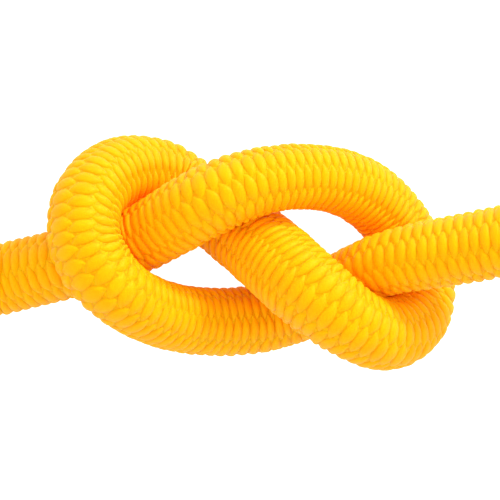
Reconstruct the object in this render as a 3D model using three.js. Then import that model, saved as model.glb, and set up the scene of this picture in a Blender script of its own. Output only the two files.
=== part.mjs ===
// A length of braided elastic shock cord, tied in a loose figure-eight knot with two free tails.
//
// The cord is a braided cover, a hollow sleeve, round a bundle of seven rubber threads.
// Both run from one cut end to the other. The knot is one rigid body here. Each tail is
// divided crosswise into three short sections, so that it can bend sideways, lift and
// stretch; every section has its own piece of cover and its own seven threads.
//
// Millimetres, +Z up. The knot lies on the plane Z = 0 and the tails run out along X.
import * as THREE from 'three';

// ---- Driving dimensions ----
const CORD_RADIUS = 4;
const COVER_THICKNESS = 0.8;
const THREAD_RADIUS = 0.94;
const THREAD_GAP = 0.17;
const THREADS_IN_RING = 6;

// Lengths of the tail sections, measured from the cut end, and the gaps between them.
// A bending gap leaves room for 25 degrees of bend; a stretching gap only parts the faces.
const END_LENGTH = 7.15;
const LIFT_LENGTH = 4.85;
const SWING_LENGTH = 3;
const STRETCH_GAP = 0.3;
const BEND_GAP = 2.2;

// How finely the curved solids are divided.
const COVER_SIDES = 16;
const THREAD_SIDES = 6;
const KNOT_STEPS = 74;
const TAIL_STEP_LENGTH = 2.5;
const PATH_SAMPLES_PER_SPAN = 40;

// Way points of the cord's axis, from the left cut end to the right one: X, Y, the height of
// the axis above the table, and the cord's girth as a share of its nominal size. The cord is
// thinner where the knot pulls or presses it, and wider where it spreads over a crossing.
const WAY_POINTS = [
  [-44.5, -6.5, 4.25, 1], // left cut end
  [-36, -5, 4.25, 1],
  [-27.5, -3.2, 4.75, 0.99],
  [-19.3, -1.2, 8.65, 0.97], // under the left loop
  [-12.1, 1.25, 10.15, 0.93],
  [-5.2, 5.2, 14.6, 0.99], // over the diagonal
  [2.05, 7.8, 14.05, 0.92],
  [9.35, 7.8, 9.75, 0.9], // top of the right loop
  [15.15, 4.45, 5, 0.93],
  [18.8, -1.6, 3.75, 0.91], // under the right tail
  [18.5, -7.05, 6.1, 0.97],
  [14.35, -9.45, 12.35, 0.96], // foot of the right loop
  [7.6, -5.3, 15.7, 1.1], // the diagonal, over the lower strand
  [1.05, 0.4, 9.95, 1.09],
  [-5.15, 5.15, 4.75, 0.98], // the diagonal, under the band
  [-9.5, 8.2, 4.2, 0.97],
  [-14.45, 8.7, 8.6, 0.96], // top of the left loop
  [-18.2, 5.25, 14.6, 0.95],
  [-17.85, -0.6, 17.25, 0.96], // over the left tail
  [-14.1, -4.9, 16.25, 0.93],
  [-7.95, -7.6, 9.5, 0.93],
  [0.35, -7.75, 4.3, 0.96], // foot of the left loop
  [7.6, -5.4, 4.8, 0.93], // under the diagonal
  [13.75, -2, 10.35, 0.88],
  [20.6, -0.4, 13.75, 0.96], // over the right loop
  [28.6, 1.15, 16.25, 0.98],
  [36.5, 2.95, 18, 1],
  [44.75, 4.75, 18.5, 1], // right cut end
];

// ---- The cord's axis ----

// Control points of the uniform cubic B-spline that passes through the way points.
function splineControls(wayPoints) {
  const targets = wayPoints.map((row) => new THREE.Vector4(...row));
  const controls = targets.map((target) => target.clone());
  const rounds = 80;
  for (let round = 0; round < rounds; round += 1) {
    for (let i = 1; i < controls.length - 1; i += 1) {
      const reached = controls[i].clone().multiplyScalar(4);
      reached.add(controls[i - 1]).add(controls[i + 1]).divideScalar(6);
      controls[i].add(targets[i]).sub(reached);
    }
  }
  const last = controls.length - 1;
  controls.unshift(controls[0].clone().multiplyScalar(2).sub(controls[1]));
  controls.push(controls[last + 1].clone().multiplyScalar(2).sub(controls[last]));
  return controls;
}

// One point of the B-spline: x, y, z and, in w, the girth.
function splinePoint(controls, span, t) {
  const weights = [
    (1 - t) ** 3,
    3 * t ** 3 - 6 * t ** 2 + 4,
    -3 * t ** 3 + 3 * t ** 2 + 3 * t + 1,
    t ** 3,
  ];
  const point = new THREE.Vector4(0, 0, 0, 0);
  weights.forEach((weight, i) => point.addScaledVector(controls[span + i], weight / 6));
  return point;
}

// The axis as closely spaced stations, each with its distance from the left cut end, its
// direction, and a side direction carried along without twist.
function traceAxis() {
  const controls = splineControls(WAY_POINTS);
  const stations = [];
  for (let span = 0; span < WAY_POINTS.length - 1; span += 1) {
    const isLast = span === WAY_POINTS.length - 2;
    const samples = isLast ? PATH_SAMPLES_PER_SPAN + 1 : PATH_SAMPLES_PER_SPAN;
    for (let i = 0; i < samples; i += 1) {
      const point = splinePoint(controls, span, i / PATH_SAMPLES_PER_SPAN);
      stations.push({ at: new THREE.Vector3(point.x, point.y, point.z), girth: point.w });
    }
  }
  stations.forEach((station, i) => {
    const before = stations[Math.max(i - 1, 0)];
    const after = stations[Math.min(i + 1, stations.length - 1)];
    station.forward = after.at.clone().sub(before.at).normalize();
    station.distance = i === 0 ? 0 : before.distance + station.at.distanceTo(before.at);
  });
  let side = new THREE.Vector3(0, 0, 1);
  stations.forEach((station) => {
    side = side.clone().addScaledVector(station.forward, -side.dot(station.forward)).normalize();
    station.side = side;
  });
  return stations;
}

const AXIS = traceAxis();
const CORD_LENGTH = AXIS[AXIS.length - 1].distance;

// The station at one distance from the left cut end.
function stationAt(distance) {
  const found = AXIS.findIndex((station) => station.distance >= distance);
  const after = Math.max(found, 1);
  const [a, b] = [AXIS[after - 1], AXIS[after]];
  const t = THREE.MathUtils.clamp((distance - a.distance) / (b.distance - a.distance), 0, 1);
  const forward = a.forward.clone().lerp(b.forward, t).normalize();
  const side = a.side.clone().lerp(b.side, t);
  side.addScaledVector(forward, -side.dot(forward)).normalize();
  return {
    at: a.at.clone().lerp(b.at, t),
    girth: THREE.MathUtils.lerp(a.girth, b.girth, t),
    side,
    up: forward.clone().cross(side),
  };
}

// ---- Sweeping along the axis ----

// A round outline in the cord's cross-section, as [side, up] pairs.
function roundOutline(radius, sides, centre = [0, 0]) {
  return Array.from({ length: sides }, (_, i) => {
    const angle = (2 * Math.PI * i) / sides;
    return [centre[0] + radius * Math.cos(angle), centre[1] + radius * Math.sin(angle)];
  });
}

// The points of one outline at one station.
function placeOutline(outline, station) {
  return outline.map(([x, y]) =>
    station.at
      .clone()
      .addScaledVector(station.side, x * station.girth)
      .addScaledVector(station.up, y * station.girth),
  );
}

function geometryFrom(points, triangles) {
  const geometry = new THREE.BufferGeometry();
  geometry.setFromPoints(points);
  geometry.setIndex(triangles);
  geometry.computeVertexNormals();
  return geometry;
}

// The stations that a section from one distance to another is swept through.
function sectionStations(from, to, steps) {
  return Array.from({ length: steps + 1 }, (_, i) => stationAt(from + ((to - from) * i) / steps));
}

// A solid rod: the outline swept through the stations, with a flat fan at each end.
function sweepRod(outline, stations) {
  const sides = outline.length;
  const points = stations.flatMap((station) => placeOutline(outline, station));
  const triangles = [];
  for (let ring = 0; ring < stations.length - 1; ring += 1) {
    for (let i = 0; i < sides; i += 1) {
      const a = ring * sides + i;
      const b = ring * sides + ((i + 1) % sides);
      triangles.push(a, b, b + sides, a, b + sides, a + sides);
    }
  }
  const last = (stations.length - 1) * sides;
  for (let i = 1; i < sides - 1; i += 1) {
    triangles.push(0, i + 1, i, last, last + i, last + i + 1);
  }
  return geometryFrom(points, triangles);
}

// A hollow tube: an outer and an inner outline of the same number of sides, joined by a flat
// ring at each end.
function sweepTube(outer, inner, stations) {
  const sides = outer.length;
  const outline = [...outer, ...inner];
  const width = outline.length;
  const points = stations.flatMap((station) => placeOutline(outline, station));
  const triangles = [];
  for (let ring = 0; ring < stations.length - 1; ring += 1) {
    for (let i = 0; i < sides; i += 1) {
      const a = ring * width + i;
      const b = ring * width + ((i + 1) % sides);
      triangles.push(a, b, b + width, a, b + width, a + width);
      const [c, d] = [a + sides, b + sides];
      triangles.push(c, d + width, d, c, c + width, d + width);
    }
  }
  const last = (stations.length - 1) * width;
  for (let i = 0; i < sides; i += 1) {
    const j = (i + 1) % sides;
    triangles.push(i, i + sides, j + sides, i, j + sides, j);
    triangles.push(last + i, last + j + sides, last + i + sides, last + i, last + j, last + j + sides);
  }
  return geometryFrom(points, triangles);
}

// ---- The pieces of one section ----

function coverPiece(name, stations) {
  const outer = roundOutline(CORD_RADIUS, COVER_SIDES);
  const inner = roundOutline(CORD_RADIUS - COVER_THICKNESS, COVER_SIDES);
  const yellowBraid = new THREE.MeshStandardMaterial({
    color: '#ffbf12',
    roughness: 0.55,
    metalness: 0,
  });
  const mesh = new THREE.Mesh(sweepTube(outer, inner, stations), yellowBraid);
  mesh.name = name;
  return mesh;
}

function threadPiece(name, centre, stations) {
  const outline = roundOutline(THREAD_RADIUS, THREAD_SIDES, centre);
  const naturalRubber = new THREE.MeshStandardMaterial({
    color: '#e6d9b8',
    roughness: 0.8,
    metalness: 0,
  });
  const mesh = new THREE.Mesh(sweepRod(outline, stations), naturalRubber);
  mesh.name = name;
  return mesh;
}

// The middles of the seven threads in the cross-section: one on the axis, six round it.
function threadCentres() {
  const spacing = 2 * THREAD_RADIUS + THREAD_GAP;
  return [[0, 0], ...roundOutline(spacing, THREADS_IN_RING)];
}

function cordSection(name, from, to, steps) {
  const stations = sectionStations(from, to, steps);
  const section = new THREE.Group();
  section.add(coverPiece(`cover_${name}`, stations));
  threadCentres().forEach((centre, i) => {
    section.add(threadPiece(`thread_${i + 1}_${name}`, centre, stations));
  });
  return section;
}

// ---- The assembly ----

// Where each section of a tail starts and ends, measured from its cut end.
function tailSpans() {
  const endStop = END_LENGTH;
  const liftStart = endStop + STRETCH_GAP;
  const liftStop = liftStart + LIFT_LENGTH;
  const swingStart = liftStop + BEND_GAP;
  const swingStop = swingStart + SWING_LENGTH;
  return {
    end: [0, endStop],
    lift: [liftStart, liftStop],
    swing: [swingStart, swingStop],
    knotStart: swingStop + BEND_GAP,
  };
}

function buildCord() {
  const group = new THREE.Group();
  const spans = tailSpans();
  const stepsFor = (from, to) => Math.max(1, Math.round((to - from) / TAIL_STEP_LENGTH));
  ['end', 'lift', 'swing'].forEach((name) => {
    const [from, to] = spans[name];
    const steps = stepsFor(from, to);
    group.add(cordSection(`left_${name}`, from, to, steps));
    group.add(cordSection(`right_${name}`, CORD_LENGTH - to, CORD_LENGTH - from, steps));
  });
  group.add(cordSection('knot', spans.knotStart, CORD_LENGTH - spans.knotStart, KNOT_STEPS));

  // The origin is the middle of the footprint, on the plane the knot rests on.
  const box = new THREE.Box3().setFromObject(group);
  const middle = box.getCenter(new THREE.Vector3());
  group.position.set(-middle.x, -middle.y, -box.min.z);
  return group;
}

const group = buildCord();
group.name = 'knotted_shock_cord';

export default group;
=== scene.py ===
"""The looks of a knotted elastic cord: braided cover, rubber threads, white studio and camera.

Lengths are in millimetres, apart from the few that say metres.

The cover is 16 yarns, eight winding each way, that cross over two and under two. The yarns are
laid out on a straight cord, as distance along it, angle round it and height from its axis, and
are then carried onto the knotted axis of the frame's threads, so that they close up on the inside
of a bend and open on its outside, as a real cover does.
"""

import math

import bpy
import numpy as np
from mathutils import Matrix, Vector


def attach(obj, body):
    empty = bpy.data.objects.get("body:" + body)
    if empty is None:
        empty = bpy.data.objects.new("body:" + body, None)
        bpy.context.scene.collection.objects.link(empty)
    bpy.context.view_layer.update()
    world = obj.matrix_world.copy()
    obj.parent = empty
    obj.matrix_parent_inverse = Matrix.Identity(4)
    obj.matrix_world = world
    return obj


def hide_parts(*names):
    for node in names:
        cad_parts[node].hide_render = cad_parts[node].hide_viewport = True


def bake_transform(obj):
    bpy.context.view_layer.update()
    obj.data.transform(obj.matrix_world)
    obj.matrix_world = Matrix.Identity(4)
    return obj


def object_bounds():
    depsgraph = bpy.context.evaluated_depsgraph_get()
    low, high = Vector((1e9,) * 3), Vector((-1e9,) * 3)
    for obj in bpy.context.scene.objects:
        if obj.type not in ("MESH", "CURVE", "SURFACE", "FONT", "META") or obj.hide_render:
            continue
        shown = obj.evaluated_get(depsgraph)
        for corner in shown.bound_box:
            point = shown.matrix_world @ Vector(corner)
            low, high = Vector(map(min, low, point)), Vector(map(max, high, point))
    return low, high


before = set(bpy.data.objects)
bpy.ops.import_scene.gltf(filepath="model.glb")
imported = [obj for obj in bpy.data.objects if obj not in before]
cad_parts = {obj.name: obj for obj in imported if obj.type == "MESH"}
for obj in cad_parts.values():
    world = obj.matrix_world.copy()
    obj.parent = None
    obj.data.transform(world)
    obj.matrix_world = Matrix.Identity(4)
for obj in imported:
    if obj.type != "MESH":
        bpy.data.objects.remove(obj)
CAD_BOX = [list(corner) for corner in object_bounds()]

# ---- Driving dimensions, in millimetres ----
METRES = 0.001
SECTIONS = ("left_end", "left_lift", "left_swing", "knot", "right_swing", "right_lift", "right_end")
THREADS = 7
FRAME_THREAD_SIDES = 6
AXIS_STEP = 0.1

# The braid: how far along the cord a yarn takes to wind once round it, how many yarns wind each
# way, how often each of them rises to the surface in one turn, and how far the yarns that wind
# the second way are shifted along the cord, in spacings of the yarns.
BRAID_PITCH = 9.6
YARNS_EACH_WAY = 8
WAVES_PER_TURN = 4
SECOND_WAY_SHIFT = 1.5

# A yarn's thickness, its middle's mean distance from the cord's axis, and how far it rises above
# and sinks below that. It is widest on its floats, narrow at the neck where it dives, and wide
# again while it is buried. The neck is at this height in a wave from -1 to 1, and the sharpness
# flattens the wave's top and bottom.
YARN_THICKNESS = 0.82
YARN_MIDDLE = 3.51
YARN_RISE = 0.18
FLOAT_WIDTH = 1.42
NECK_WIDTH = 0.4
BURIED_WIDTH = 1.25
NECK_LIFT = -0.7
RISE_SHARPNESS = 1.8

# How far a float turns square to the cord, and how evenly it does so along its length.
FLOAT_LEVELLING = 0.95
SQUARENESS = 0.15

# A yarn's cross-section is a lens: its height falls to the edges by this power of a circle's.
YARN_LENS = 1.7
YARN_SIDES = 14

# A yarn's rings: how many there are in a wave, how far the second ring is from the end one in
# radians of winding, and the fineness, in turns, of the search for the ends.
RINGS_PER_WAVE = 20
END_RING_GAP = 0.01
END_SEARCH_STEP = 0.002

# Length of yarn in a length of cord, about, so that neighbouring pieces' streaks run on.
YARN_PER_CORD = 2.6

# Wanders of each yarn from the regular pattern: strength, longest wave in radians of winding, and
# what is added to the yarn's own seed.
TRAVEL_WANDER = (0.08, 23, 0)
HEIGHT_WANDER = (0.045, 17, 100)
WIDTH_WANDER = (0.07, 11, 200)

# The layer under the crossings: its outer and inner radius, the size of its mesh, and the streaks
# round it and the yarn number that its material reads.
BED_RADII = (3.78, 3.05)
BED_STEP = 0.6
BED_SIDES = 48
BED_STREAKS = 12
BED_NUMBER = 20.0

# The braid's turn about the axis, in degrees, at shares of the cord's length.
BRAID_TURNS = ((0, 22), (0.22, 12), (0.46, 26), (0.65, 29), (0.75, 25), (0.9, 30))

# The spacing of the braid's ribs along the cord, as a share of the regular one, at shares of the
# cord's length: the cover is pushed together on the right loop and on the diagonal.
RIB_SPACING = ((0, 1), (0.18, 1), (0.24, 0.82), (0.32, 0.82), (0.37, 1), (0.41, 1), (0.44, 0.82),
               (0.48, 0.82), (0.52, 1), (1, 1))

# The cover bunches up on the inside of a bend and stands prouder there. The swelling, as a share
# of the cord's radius, is BUNCHING times the ratio of the cord's radius to the bend's, counted
# from the start and for no more than the span.
BUNCHING = 0.3
BUNCHING_START = 0.15
BUNCHING_SPAN = 0.45


# ---- The cord's axis, read from the middle thread of the frame ----

def merged_corners(mesh):
    """A mesh's separate corner places, in millimetres, and which of them share an edge."""
    places = np.zeros(len(mesh.vertices) * 3)
    mesh.vertices.foreach_get("co", places)
    places = places.reshape(-1, 3) / METRES
    keys, index = np.unique(np.round(places, 3), axis=0, return_inverse=True)
    index = index.ravel()
    neighbours = [set() for _ in keys]
    for edge in mesh.edges:
        a, b = (index[v] for v in edge.vertices)
        neighbours[a].add(b)
        neighbours[b].add(a)
    return keys, neighbours


def thread_rings(node, near):
    """The rings of corners along a thread, starting from the end that is nearest to a point."""
    places, neighbours = merged_corners(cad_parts[node].data)
    ring = set(np.argsort(np.linalg.norm(places - near, axis=1))[:FRAME_THREAD_SIDES])
    seen = set()
    rings = []
    while ring:
        rings.append(places[sorted(ring)])
        seen |= ring
        ring = set().union(*(neighbours[i] for i in ring)) - seen
    return rings


def natural_spline(knots, values, at):
    """The natural cubic spline through values at knots, worked out at other places."""
    gaps = np.diff(knots)
    slopes = np.diff(values, axis=0) / gaps[:, None]
    count = len(knots)
    matrix = np.eye(count)
    target = np.zeros_like(values)
    for i in range(1, count - 1):
        matrix[i, i - 1:i + 2] = (gaps[i - 1], 2 * (gaps[i - 1] + gaps[i]), gaps[i])
        target[i] = 6 * (slopes[i] - slopes[i - 1])
    bends = np.linalg.solve(matrix, target)
    span = np.clip(np.searchsorted(knots, at, side="right") - 1, 0, count - 2)
    gap = gaps[span][:, None]
    after = (at - knots[span])[:, None]
    before = gap - after
    cubic = bends[span] * before ** 3 + bends[span + 1] * after ** 3
    start = values[span] / gap - bends[span] * gap / 6
    stop = values[span + 1] / gap - bends[span + 1] * gap / 6
    return cubic / (6 * gap) + start * before + stop * after


def unit(vectors):
    """Vectors of the same directions and length 1."""
    return vectors / np.linalg.norm(vectors, axis=-1, keepdims=True)


class Axis:
    """The cord's axis: centre, girth and a pair of side directions at any distance along it."""

    def __init__(self):
        corners, _ = merged_corners(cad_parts["thread_1_left_end"].data)
        near = corners[np.argmin(corners[:, 0])]
        centres, radii, ends = [], [], []
        for section in SECTIONS:
            rings = thread_rings(f"thread_1_{section}", near)
            ends.append((len(centres), len(centres) + len(rings) - 1))
            for ring in rings:
                centres.append(ring.mean(axis=0))
                radii.append(np.linalg.norm(ring - ring.mean(axis=0), axis=1).mean())
            near = centres[-1]
        rows = np.column_stack([centres, np.array(radii) / radii[0]])
        chords = np.linalg.norm(np.diff(rows[:, :3], axis=0), axis=1)
        knots = np.concatenate([[0], np.cumsum(chords)])
        fine = np.linspace(0, knots[-1], int(knots[-1] / AXIS_STEP) + 1)
        points = natural_spline(knots, rows, fine)
        steps = np.linalg.norm(np.diff(points[:, :3], axis=0), axis=1)
        self.distance = np.concatenate([[0], np.cumsum(steps)])
        self.length = self.distance[-1]
        self.centre = points[:, :3]
        self.girth = points[:, 3]
        self.spans = {}
        for section, (first, last) in zip(SECTIONS, ends):
            self.spans[section] = tuple(np.interp(knots[[first, last]], fine, self.distance))
        self.carry_sides()

    def carry_sides(self):
        """Side directions carried along the axis without twist, from straight up at the left,
        and how strongly the axis bends towards which side."""
        self.forward = unit(np.gradient(self.centre, axis=0))
        side = np.array([0.0, 0.0, 1.0])
        sides = []
        for forward in self.forward:
            side = unit(side - forward * (side @ forward))
            sides.append(side)
        self.side = np.array(sides)
        self.up = np.cross(self.forward, self.side)
        self.bend = np.gradient(self.forward, axis=0) / AXIS_STEP

    def read(self, values, distance):
        """Vectors kept along the axis, read at any distances along it."""
        columns = [np.interp(distance, self.distance, values[:, i]) for i in range(3)]
        return np.stack(columns, axis=-1)

    def place(self, distance, angle, height):
        """Points of the straight cord, carried onto the knotted axis."""
        girth = np.interp(distance, self.distance, self.girth)
        side = unit(self.read(self.side, distance))
        up = unit(self.read(self.up, distance))
        outward = np.cos(angle)[..., None] * side + np.sin(angle)[..., None] * up
        inside = (outward * self.read(self.bend, distance)).sum(axis=-1) * height
        bunched = 1 + BUNCHING * np.clip(inside - BUNCHING_START, 0, BUNCHING_SPAN)
        reach = (girth * height * bunched)[..., None]
        beyond = distance - np.clip(distance, 0, self.length)
        forward = self.read(self.forward, distance) * beyond[..., None]
        return self.read(self.centre, distance) + forward + reach * outward


axis = Axis()


# ---- Meshes ----

def tube_faces(rings, sides, first=0):
    """The faces of a closed tube of rings, with a flat cap at each end."""
    ring = np.arange(rings - 1)[:, None] * sides
    i = np.arange(sides)[None, :]
    j = (i + 1) % sides
    quads = np.stack([ring + i, ring + j, ring + j + sides, ring + i + sides], axis=-1)
    faces = (quads.reshape(-1, 4) + first).tolist()
    faces.append([first + k for k in reversed(range(sides))])
    faces.append([first + (rings - 1) * sides + k for k in range(sides)])
    return faces


def sleeve_faces(rings, sides, first=0):
    """The faces of a closed loop of rings: a hollow sleeve, out along it and back inside it."""
    ring = np.arange(rings)[:, None] * sides
    after = np.roll(ring, -1, axis=0)
    i = np.arange(sides)[None, :]
    j = (i + 1) % sides
    quads = np.stack([ring + i, ring + j, after + j, after + i], axis=-1)
    return (quads.reshape(-1, 4) + first).tolist()


def make_piece(name, tubes, material, attributes=(), sleeves=0):
    """One smooth mesh of closed tubes, each an array: rings, corners, place. The last few of
    them may be sleeves."""
    points = np.concatenate([tube.reshape(-1, 3) for tube in tubes]) * METRES
    faces = []
    first = 0
    for i, tube in enumerate(tubes):
        join = sleeve_faces if i >= len(tubes) - sleeves else tube_faces
        faces += join(tube.shape[0], tube.shape[1], first)
        first += tube.shape[0] * tube.shape[1]
    mesh = bpy.data.meshes.new(name)
    mesh.from_pydata(points.tolist(), [], faces)
    mesh.polygons.foreach_set("use_smooth", [True] * len(faces))
    for key, values in attributes:
        attribute = mesh.attributes.new(key, "FLOAT", "POINT")
        attribute.data.foreach_set("value", np.concatenate([v.ravel() for v in values]))
    mesh.materials.append(material)
    mesh.update()
    piece = bpy.data.objects.new(name, mesh)
    bpy.context.scene.collection.objects.link(piece)
    return piece


# ---- The braid ----

# A wander is a sum of waves: how many times shorter each is than the longest, and a divisor that
# keeps the sum within about the strength.
WANDER_WAVES = (1, 2.3, 4.1)
WANDER_SUM = 1.5


def wobble(at, seed, strength, longest, seed_shift):
    """A smooth wander about zero, the same each run: sine waves with seeded phases."""
    draws = np.random.default_rng(seed + seed_shift)
    phases = draws.uniform(0, 2 * math.pi, len(WANDER_WAVES))
    waves = [np.sin(at * 2 * math.pi * k / longest + phase) / k
             for k, phase in zip(WANDER_WAVES, phases)]
    return strength * sum(waves) / WANDER_SUM


def braid_turn(distance):
    """How far the braid has turned about the axis, in radians, against the twist-free sides."""
    shares, degrees = zip(*BRAID_TURNS)
    return np.radians(np.interp(distance / axis.length, shares, degrees))


def spacing_map():
    """Distances along the evenly spaced braid, and where they lie along the cord."""
    cord = axis.distance
    shares, spacing = zip(*RIB_SPACING)
    local = np.interp(cord / axis.length, shares, spacing)
    steps = np.diff(cord) * (1 / local[1:] + 1 / local[:-1]) / 2
    return np.concatenate([[0], np.cumsum(steps)]), cord


EVEN_DISTANCE, CORD_DISTANCE = spacing_map()


def to_cord(even):
    """Cord distances for distances along the evenly spaced braid, carried on past both ends."""
    inside = np.clip(even, 0, EVEN_DISTANCE[-1])
    return np.interp(inside, EVEN_DISTANCE, CORD_DISTANCE) + even - inside


def to_even(cord):
    """The distance along the evenly spaced braid of one place on the cord."""
    return float(np.interp(cord, CORD_DISTANCE, EVEN_DISTANCE))


def yarn_travel(wave):
    """Distance along the cord for a yarn's wave angle: slow on top, quick underneath."""
    lead = BRAID_PITCH / (2 * math.pi)
    phase = WAVES_PER_TURN * wave
    swing = (1 + SQUARENESS) * np.sin(phase) - SQUARENESS / 3 * np.sin(3 * phase)
    return lead * (wave - FLOAT_LEVELLING / WAVES_PER_TURN * swing)


def wave_angles(first, last):
    """Wave angles of a yarn's rings between two distances, with a close ring by each end."""
    turns = (math.floor(first / BRAID_PITCH) - 1, math.ceil(last / BRAID_PITCH) + 2)
    grid = np.arange(*turns, END_SEARCH_STEP) * 2 * math.pi
    ends = np.interp([first, last], yarn_travel(grid), grid)
    step = 2 * math.pi / WAVES_PER_TURN / RINGS_PER_WAVE
    inner = np.arange(math.ceil(ends[0] / step), math.floor(ends[1] / step) + 1) * step
    gap = END_RING_GAP
    inner = inner[(inner > ends[0] + 2 * gap) & (inner < ends[1] - 2 * gap)]
    return np.concatenate([[ends[0], ends[0] + gap], inner, [ends[1] - gap, ends[1]]])


def yarn_width(lift):
    """A yarn's width, by how far up it is in its wave, from -1 when deepest to 1 on top."""
    over = np.clip((lift - NECK_LIFT) / (1 - NECK_LIFT), 0, 1)
    under = np.sqrt(np.clip((NECK_LIFT - lift) / (1 + NECK_LIFT), 0, 1))
    return NECK_WIDTH + (FLOAT_WIDTH - NECK_WIDTH) * over + (BURIED_WIDTH - NECK_WIDTH) * under


def yarn_tube(hand, number, first, last):
    """One yarn between two distances along the cord, winding one way, hand 1, or the other, -1."""
    spacing = BRAID_PITCH / YARNS_EACH_WAY
    offset = (number + (0 if hand > 0 else SECOND_WAY_SHIFT)) * spacing
    wave = wave_angles(to_even(first) - offset, to_even(last) - offset)
    seed = 10 * number + (1 if hand > 0 else 2)
    travel = yarn_travel(wave) + offset + wobble(wave, seed, *TRAVEL_WANDER)
    angle = wave if hand > 0 else -wave - math.pi / WAVES_PER_TURN
    lift = np.cos(WAVES_PER_TURN * wave)
    rise = np.tanh(RISE_SHARPNESS * lift) / math.tanh(RISE_SHARPNESS)
    height = YARN_MIDDLE + YARN_RISE * rise + wobble(wave, seed, *HEIGHT_WANDER)
    width = yarn_width(lift) * (1 + wobble(wave, seed, *WIDTH_WANDER))
    along = np.gradient(travel, wave)
    across = np.gradient(angle, wave) * height
    speed = np.hypot(along, across)
    turn = np.linspace(0, 2 * math.pi, YARN_SIDES, endpoint=False)
    lens = np.sign(np.sin(turn)) * np.abs(np.sin(turn)) ** YARN_LENS
    x = width[:, None] / 2 * np.cos(turn)
    y = YARN_THICKNESS / 2 * lens[None, :]
    distance = travel[:, None] - hand * x * (across / speed)[:, None]
    angles = angle[:, None] + hand * x * (along / speed / height)[:, None]
    heights = height[:, None] + y
    distance = to_cord(distance)
    tube = axis.place(distance, angles + braid_turn(distance), heights)
    length = np.concatenate([[0], np.cumsum(speed[1:] * np.diff(wave))])
    length = length + travel[0] * YARN_PER_CORD
    return tube, {
        "yarn_length": np.repeat(length[:, None], YARN_SIDES, axis=1),
        "yarn_turn": np.repeat(turn[None, :], len(wave), axis=0),
        "yarn_number": np.full(tube.shape[:2], number + (0.0 if hand > 0 else YARNS_EACH_WAY)),
    }


def yarn_bed(first, last):
    """The filaments packed under the crossings, as a thin sleeve that closes the braid's gaps."""
    steps = round((last - first) / BED_STEP)
    distance = np.linspace(first, last, steps + 1)
    distance = np.concatenate([distance, distance[::-1]])
    height = np.repeat(BED_RADII, steps + 1)
    turn = np.linspace(0, 2 * math.pi, BED_SIDES, endpoint=False)
    shape = (len(distance), len(turn))
    tube = axis.place(np.broadcast_to(distance[:, None], shape), np.broadcast_to(turn, shape),
                      np.broadcast_to(height[:, None], shape))
    return tube, {
        "yarn_length": np.broadcast_to(distance[:, None], shape),
        # Taken BED_STREAKS times round, the turn also sets the streaks and stripes of painted
        # crease shade on this layer.
        "yarn_turn": np.broadcast_to(turn, shape) * BED_STREAKS,
        "yarn_number": np.full(shape, BED_NUMBER),
    }


def braid_piece(name, first, last, material):
    """All sixteen yarns and the layer under them, between two distances along the cord."""
    yarns = [yarn_tube(hand, number, first, last)
             for hand in (1, -1) for number in range(YARNS_EACH_WAY)]
    yarns.append(yarn_bed(first, last))
    keys = yarns[0][1].keys()
    attributes = [(key, [values[key] for _, values in yarns]) for key in keys]
    piece = make_piece(f"braid_{name}", [tube for tube, _ in yarns], material, attributes,
                       sleeves=1)
    return piece


# ---- The cut ends: yarns melted into a rim by a hot knife ----

# The rim is a lumpy ring. Its middle lies a little inside the cut, and the yarns stop in it.
RIM_MIDDLE = 3.48
RIM_HALF_WIDTH = 0.56
RIM_HALF_LENGTH = 0.3
RIM_INSET = 0.08
RIM_SIDES = 96
RIM_SECTION_SIDES = 16
RIM_LUMPS = ((0.06, 8, 1), (0.05, 13, 0), (0.03, 29, 0))
RIM_OVAL = (0.04, 3)
YARN_CUT = 0.3


def rim_piece(name, at, outward, body, material):
    """The ring over the yarns' ends at one cut. Outward is 1 or -1 along the cord."""
    around = np.linspace(0, 2 * math.pi, RIM_SIDES, endpoint=False)[:, None]
    section = np.linspace(0, 2 * math.pi, RIM_SECTION_SIDES, endpoint=False)[None, :]
    lumps = sum(size * np.sin(count * around + phase) for size, count, phase in RIM_LUMPS)
    reach = (RIM_HALF_WIDTH + lumps / 2) * np.cos(section)
    height = RIM_MIDDLE + RIM_OVAL[0] * np.sin(RIM_OVAL[1] * around) + reach
    distance = at - outward * RIM_INSET + (RIM_HALF_LENGTH + lumps) * np.sin(section)
    tube = axis.place(distance, np.broadcast_to(around, height.shape), height)
    piece = make_piece(f"fused_rim_{name}", [tube], material, sleeves=1)
    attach(piece, body)


# ---- The rubber threads ----

# A middle thread and six round it, each slightly three-sided from the pressure of the others,
# rounded at the ends of its pieces, and drawn back into the cover at the cord's ends by one to
# five steps of the recess.
THREAD_RADIUS = 0.94
THREAD_SPACING = 2.05
THREAD_FLATTENING = 0.03
THREAD_SIDES = 16
THREAD_STEP = 1.2
THREAD_END_SHARE = 0.88
THREAD_END_LENGTH = 0.1
THREAD_RECESS = 0.1
THREAD_RECESS_STEPS = 5


def thread_piece(name, number, first, last, material):
    """One rubber thread between two distances along the cord."""
    steps = max(2, round((last - first) / THREAD_STEP))
    distance = np.linspace(first, last, steps + 1)
    ends = [first, first + THREAD_END_LENGTH, last - THREAD_END_LENGTH, last]
    distance = np.concatenate([ends[:2], distance[1:-1], ends[2:]])
    rounding = np.ones((len(distance), 1))
    rounding[[0, -1]] = THREAD_END_SHARE
    turn = np.linspace(0, 2 * math.pi, THREAD_SIDES, endpoint=False)
    radius = THREAD_RADIUS * (1 + THREAD_FLATTENING * np.cos(3 * turn + number)) * rounding
    middle = (0, 0) if number == 1 else (THREAD_SPACING, (number - 2) * math.pi / 3)
    x = middle[0] * math.cos(middle[1]) + radius * np.cos(turn)
    y = middle[0] * math.sin(middle[1]) + radius * np.sin(turn)
    rows = np.repeat(distance[:, None], THREAD_SIDES, axis=1)
    tube = axis.place(rows, np.arctan2(y, x), np.hypot(x, y))
    piece = make_piece(f"thread_{number}_{name}", [tube], material)
    return piece
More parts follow.
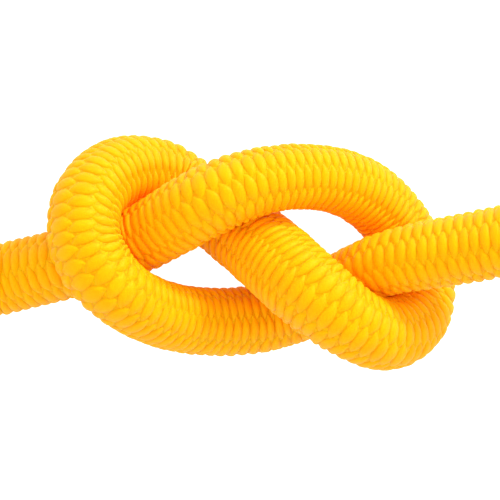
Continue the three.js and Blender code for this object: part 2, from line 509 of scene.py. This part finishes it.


# ---- Materials ----

# A yarn's two yellows, and a painted shade, a deeper orange towards its edges where the creases
# between yarns fall in shadow, which begins and is full at these shares of its half width.
YARN_DARK = (0.94, 0.375, 0.0003)
YARN_LIGHT = (0.99, 0.485, 0.0006)
YARN_PAINTED_SHADE = (0.86, 0.17, 0.0002)
SHADE_EDGE_START = 0.6
SHADE_EDGE_FULL = 0.95
SHADE_EDGE_STRENGTH = 0.35

# The yarn's noises: scales round it, along it and from yarn to yarn, and detail. The streaks are
# its filaments, which stand up by about the height, in millimetres.
STREAKS = ((3.2, 0.5, 5.1), 3)
PATCHES = ((0.15, 0.22, 3.7), 2)
STREAK_STRENGTH = 0.35
STREAK_HEIGHT = 0.05

# The satin of the yarn: a little light scattered close under the surface, and a yellow sheen.
YARN_FINISH = {
    "Roughness": 0.5,
    "Specular Tint": (1.0, 0.8, 0.06, 1),
    "Subsurface Weight": 0.4,
    "Subsurface Radius": (1.0, 0.4, 0.05),
    "Subsurface Scale": 0.2 * METRES,
    "Sheen Weight": 0.3,
    "Sheen Roughness": 0.3,
    "Sheen Tint": (1.0, 0.75, 0.08, 1),
}

# The two solids: dark and light colour, mean roughness, and in millimetres the size of the
# mottling, the size of the bumps and the bumps' height.
RUBBER_LOOK = {
    "dark": (0.46, 0.33, 0.17),
    "light": (0.66, 0.52, 0.31),
    "roughness": 0.6,
    "mottle_size": 0.9,
    "bump_size": 0.18,
    "bump_height": 0.03,
}
FUSED_LOOK = {
    "dark": (0.62, 0.17, 0.001),
    "light": (0.88, 0.36, 0.002),
    "roughness": 0.3,
    "mottle_size": 0.7,
    "bump_size": 0.4,
    "bump_height": 0.08,
}
MOTTLE_DETAIL = 4
BUMP_DETAIL = 3
BUMP_STRENGTH = 0.6
ROUGHNESS_SPREAD = 0.1

# Most of a noise's values lie between these.
NOISE_RANGE = (0.35, 0.65)


def new_material(name):
    """A new material with its nodes, its links and its surface shader."""
    material = bpy.data.materials.new(name)
    material.use_nodes = True
    nodes = material.node_tree.nodes
    return material, nodes, material.node_tree.links, nodes["Principled BSDF"]


def attribute_value(nodes, name):
    """A value kept at each corner of the mesh."""
    attribute = nodes.new("ShaderNodeAttribute")
    attribute.attribute_name = name
    return attribute.outputs["Fac"]


def arithmetic(nodes, links, operation, value, other=0.0):
    """One operation on a value and, where it takes two, on a number."""
    node = nodes.new("ShaderNodeMath")
    node.operation = operation
    node.inputs[1].default_value = other
    links.new(value, node.inputs[0])
    return node.outputs[0]


def map_range(nodes, links, value, source, target, curve="LINEAR"):
    """A value carried from one range onto another, and kept within it."""
    node = nodes.new("ShaderNodeMapRange")
    node.interpolation_type = curve
    for key, number in zip(("From Min", "From Max", "To Min", "To Max"), (*source, *target)):
        node.inputs[key].default_value = number
    links.new(value, node.inputs["Value"])
    return node.outputs["Result"]


def colour_mix(nodes, links, factor, first, second):
    """A colour between two others, each a plain colour or another node's output."""
    node = nodes.new("ShaderNodeMix")
    node.data_type = "RGBA"
    links.new(factor, node.inputs["Factor"])
    for key, colour in (("A", first), ("B", second)):
        if isinstance(colour, tuple):
            node.inputs[key].default_value = (*colour, 1)
        else:
            links.new(colour, node.inputs[key])
    return node.outputs["Result"]


def add_bump(nodes, links, shader, height, strength, distance):
    """An uneven surface on a shader: heights from 0 to 1, and their distance in millimetres."""
    node = nodes.new("ShaderNodeBump")
    node.inputs["Strength"].default_value = strength
    node.inputs["Distance"].default_value = distance * METRES
    links.new(height, node.inputs["Height"])
    links.new(node.outputs["Normal"], shader.inputs["Normal"])


def yarn_noise(nodes, links, scales, detail):
    """Noise drawn out along each yarn: scales round it, along it and from yarn to yarn."""
    join = nodes.new("ShaderNodeCombineXYZ")
    for key, axis_name, scale in zip(("yarn_turn", "yarn_length", "yarn_number"), "XYZ", scales):
        scaled = arithmetic(nodes, links, "MULTIPLY", attribute_value(nodes, key), scale)
        links.new(scaled, join.inputs[axis_name])
    noise = nodes.new("ShaderNodeTexNoise")
    noise.inputs["Scale"].default_value = 1
    noise.inputs["Detail"].default_value = detail
    links.new(join.outputs[0], noise.inputs["Vector"])
    return noise.outputs["Fac"]


def place_noise(nodes, links, size, detail):
    """Noise through space, with features of about one size in millimetres, spread over 0 to 1."""
    noise = nodes.new("ShaderNodeTexNoise")
    noise.inputs["Scale"].default_value = 1 / (size * METRES)
    noise.inputs["Detail"].default_value = detail
    links.new(nodes.new("ShaderNodeTexCoord").outputs["Object"], noise.inputs["Vector"])
    return map_range(nodes, links, noise.outputs["Fac"], NOISE_RANGE, (0, 1))


def painted_crease_shade(nodes, links):
    """Painted crease shade: how close a point is to either edge of its yarn, from 0 in the middle
    to the strength.
    """
    across = arithmetic(nodes, links, "COSINE", attribute_value(nodes, "yarn_turn"))
    aside = arithmetic(nodes, links, "ABSOLUTE", across)
    return map_range(nodes, links, aside, (SHADE_EDGE_START, SHADE_EDGE_FULL), (0, SHADE_EDGE_STRENGTH), "SMOOTHSTEP")


def yarn_material():
    """Satin filament yarn: patches of two yellows, with painted shade deepening towards the edges
    where the creases fall, streaked along it.
    """
    material, nodes, links, shader = new_material("yellow_yarn")
    streaks = yarn_noise(nodes, links, *STREAKS)
    patches = yarn_noise(nodes, links, *PATCHES)
    shade = colour_mix(nodes, links, patches, YARN_DARK, YARN_LIGHT)
    # Painted shade: the colour deepens towards each yarn's edges to darken the creases between
    # yarns.
    deep = colour_mix(nodes, links, painted_crease_shade(nodes, links), shade, YARN_PAINTED_SHADE)
    links.new(deep, shader.inputs["Base Color"])
    add_bump(nodes, links, shader, streaks, STREAK_STRENGTH, STREAK_HEIGHT)
    for key, value in YARN_FINISH.items():
        shader.inputs[key].default_value = value
    return material


def mottled_material(name, dark, light, roughness, mottle_size, bump_size, bump_height):
    """A solid with mottled colour, uneven gloss and a fine uneven surface."""
    material, nodes, links, shader = new_material(name)
    mottle = place_noise(nodes, links, mottle_size, MOTTLE_DETAIL)
    links.new(colour_mix(nodes, links, mottle, dark, light), shader.inputs["Base Color"])
    gloss = (roughness - ROUGHNESS_SPREAD, roughness + ROUGHNESS_SPREAD)
    links.new(map_range(nodes, links, mottle, (0, 1), gloss), shader.inputs["Roughness"])
    bumps = place_noise(nodes, links, bump_size, BUMP_DETAIL)
    add_bump(nodes, links, shader, bumps, BUMP_STRENGTH, bump_height)
    return material


YARN = yarn_material()
RUBBER = mottled_material("latex_rubber", **RUBBER_LOOK)
FUSED_YARN = mottled_material("fused_yarn", **FUSED_LOOK)


# ---- The cord's pieces ----


def middle_of(section):
    """The distance along the cord of a section's middle."""
    return sum(axis.spans[section]) / 2


def between(before, after):
    """The distance along the cord of the middle of a gap, where a joint is."""
    return (axis.spans[before][1] + axis.spans[after][0]) / 2


def build_length(name, first, last, sections):
    """The braid and the seven threads of one length of cord, across two sections whose frame cover
    and threads are hidden.
    """
    yarn_first = max(first, YARN_CUT)
    yarn_last = min(last, axis.length - YARN_CUT)
    piece = braid_piece(name, yarn_first, yarn_last, YARN)
    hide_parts(*[f"cover_{section}" for section in sections])
    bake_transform(piece)
    for number in range(1, THREADS + 1):
        recess = THREAD_RECESS * (1 + 3 * number % THREAD_RECESS_STEPS)
        thread_first = max(first, recess)
        thread_last = min(last, axis.length - recess)
        thread = thread_piece(name, number, thread_first, thread_last, RUBBER)
        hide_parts(*[f"thread_{number}_{section}" for section in sections])
        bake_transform(thread)


def build_cord():
    """Six lengths of cord, cut at the middles of sections so that each one spans a joint. The
    cut in the middle of the knot parts two pieces that never move against each other."""
    length = axis.length
    left = {
        "lift_cut": middle_of("left_lift"),
        "lift_pivot": between("left_lift", "left_swing"),
        "swing_cut": middle_of("left_swing"),
        "swing_pivot": between("left_swing", "knot"),
    }
    right = {
        "lift_cut": middle_of("right_lift"),
        "lift_pivot": between("right_swing", "right_lift"),
        "swing_cut": middle_of("right_swing"),
        "swing_pivot": between("knot", "right_swing"),
    }
    hidden = length / 2
    build_length("left_end", 0, left["lift_cut"],
                 ("left_lift", "left_end"))
    build_length("left_lift", left["lift_cut"], left["swing_cut"],
                 ("left_swing", "left_lift"))
    build_length("knot_left", left["swing_cut"], hidden,
                 ("knot", "left_swing"))
    build_length("knot_right", hidden, right["swing_cut"],
                 ("knot", "right_swing"))
    build_length("right_lift", right["swing_cut"], right["lift_cut"],
                 ("right_swing", "right_lift"))
    build_length("right_end", right["lift_cut"], length,
                 ("right_lift", "right_end"))
    rim_piece("left", 0, -1, "left_end", FUSED_YARN)
    rim_piece("right", length, 1, "right_end", FUSED_YARN)


build_cord()


# ---- Studio ----

# The floor looks pure white to the camera, and gives the cord less light than it shows.
FLOOR_GREY = 0.6
FLOOR_GLOW = 0.15
FLOOR_GLOW_SEEN = 0.95
FLOOR_HALF_WIDTH = 3.0

# White light from all round, and one lamp above the cord, to its back and right. The lamp's place
# and size are in metres and its power is in watts.
SKY_STRENGTH = 1.25
KEY_PLACE = (0.42, 0.5, 0.26)
KEY_SIZE = 0.15
KEY_POWER = 3.2

# Light that is passed on many times between the yarns keeps the crevices from turning brown.
LIGHT_BOUNCES = 12

# The camera looks straight down, in millimetres: the width that the picture shows at the look
# height, the camera's height above that, and where the picture's middle is against the frame's.
PICTURE_WIDTH = 55.6
CAMERA_HEIGHT = 1200
LOOK_HEIGHT = 9.5
LOOK_RIGHT = -0.21
LOOK_BACK = 0.3
SENSOR_WIDTH = 36
SIGHT_LIMIT = 10000


def build_floor():
    """A white table under the lowest yarn."""
    material, nodes, links, shader = new_material("white_table")
    shader.inputs["Base Color"].default_value = (FLOOR_GREY, FLOOR_GREY, FLOOR_GREY, 1)
    shader.inputs["Emission Color"].default_value = (1, 1, 1, 1)
    seen = nodes.new("ShaderNodeLightPath").outputs["Is Camera Ray"]
    glow = map_range(nodes, links, seen, (0, 1), (FLOOR_GLOW, FLOOR_GLOW_SEEN))
    links.new(glow, shader.inputs["Emission Strength"])
    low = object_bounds()[0].z
    half = FLOOR_HALF_WIDTH
    mesh = bpy.data.meshes.new("table")
    corners = [(-half, -half, low), (half, -half, low), (half, half, low), (-half, half, low)]
    mesh.from_pydata(corners, [], [(0, 1, 2, 3)])
    mesh.materials.append(material)
    floor = bpy.data.objects.new("table", mesh)
    bpy.context.scene.collection.objects.link(floor)


def build_sky():
    """The same white light from every direction."""
    world = bpy.data.worlds.new("studio")
    world.use_nodes = True
    background = world.node_tree.nodes["Background"]
    background.inputs["Color"].default_value = (1, 1, 1, 1)
    background.inputs["Strength"].default_value = SKY_STRENGTH
    bpy.context.scene.world = world


def build_key_light():
    """A small lamp that faces the cord."""
    light = bpy.data.lights.new("key", "AREA")
    light.size = KEY_SIZE
    light.energy = KEY_POWER
    holder = bpy.data.objects.new("key", light)
    holder.location = KEY_PLACE
    holder.rotation_euler = (-Vector(KEY_PLACE)).to_track_quat("-Z", "Y").to_euler()
    bpy.context.scene.collection.objects.link(holder)


def build_camera():
    """A camera high over the knot, with a long lens, that looks straight down."""
    camera = bpy.data.cameras.new("camera")
    camera.sensor_width = SENSOR_WIDTH
    camera.lens = SENSOR_WIDTH * CAMERA_HEIGHT / PICTURE_WIDTH
    camera.clip_end = SIGHT_LIMIT * METRES
    holder = bpy.data.objects.new("camera", camera)
    low, high = (Vector(corner) for corner in CAD_BOX)
    middle = (low + high) / 2
    aim = Vector((LOOK_RIGHT, LOOK_BACK, LOOK_HEIGHT + CAMERA_HEIGHT)) * METRES
    holder.location = (middle.x + aim.x, middle.y + aim.y, aim.z)
    bpy.context.scene.collection.objects.link(holder)
    bpy.context.scene.camera = holder


build_floor()
build_sky()
build_key_light()
build_camera()
bpy.context.scene.view_settings.view_transform = "Standard"
bpy.context.scene.cycles.diffuse_bounces = LIGHT_BOUNCES
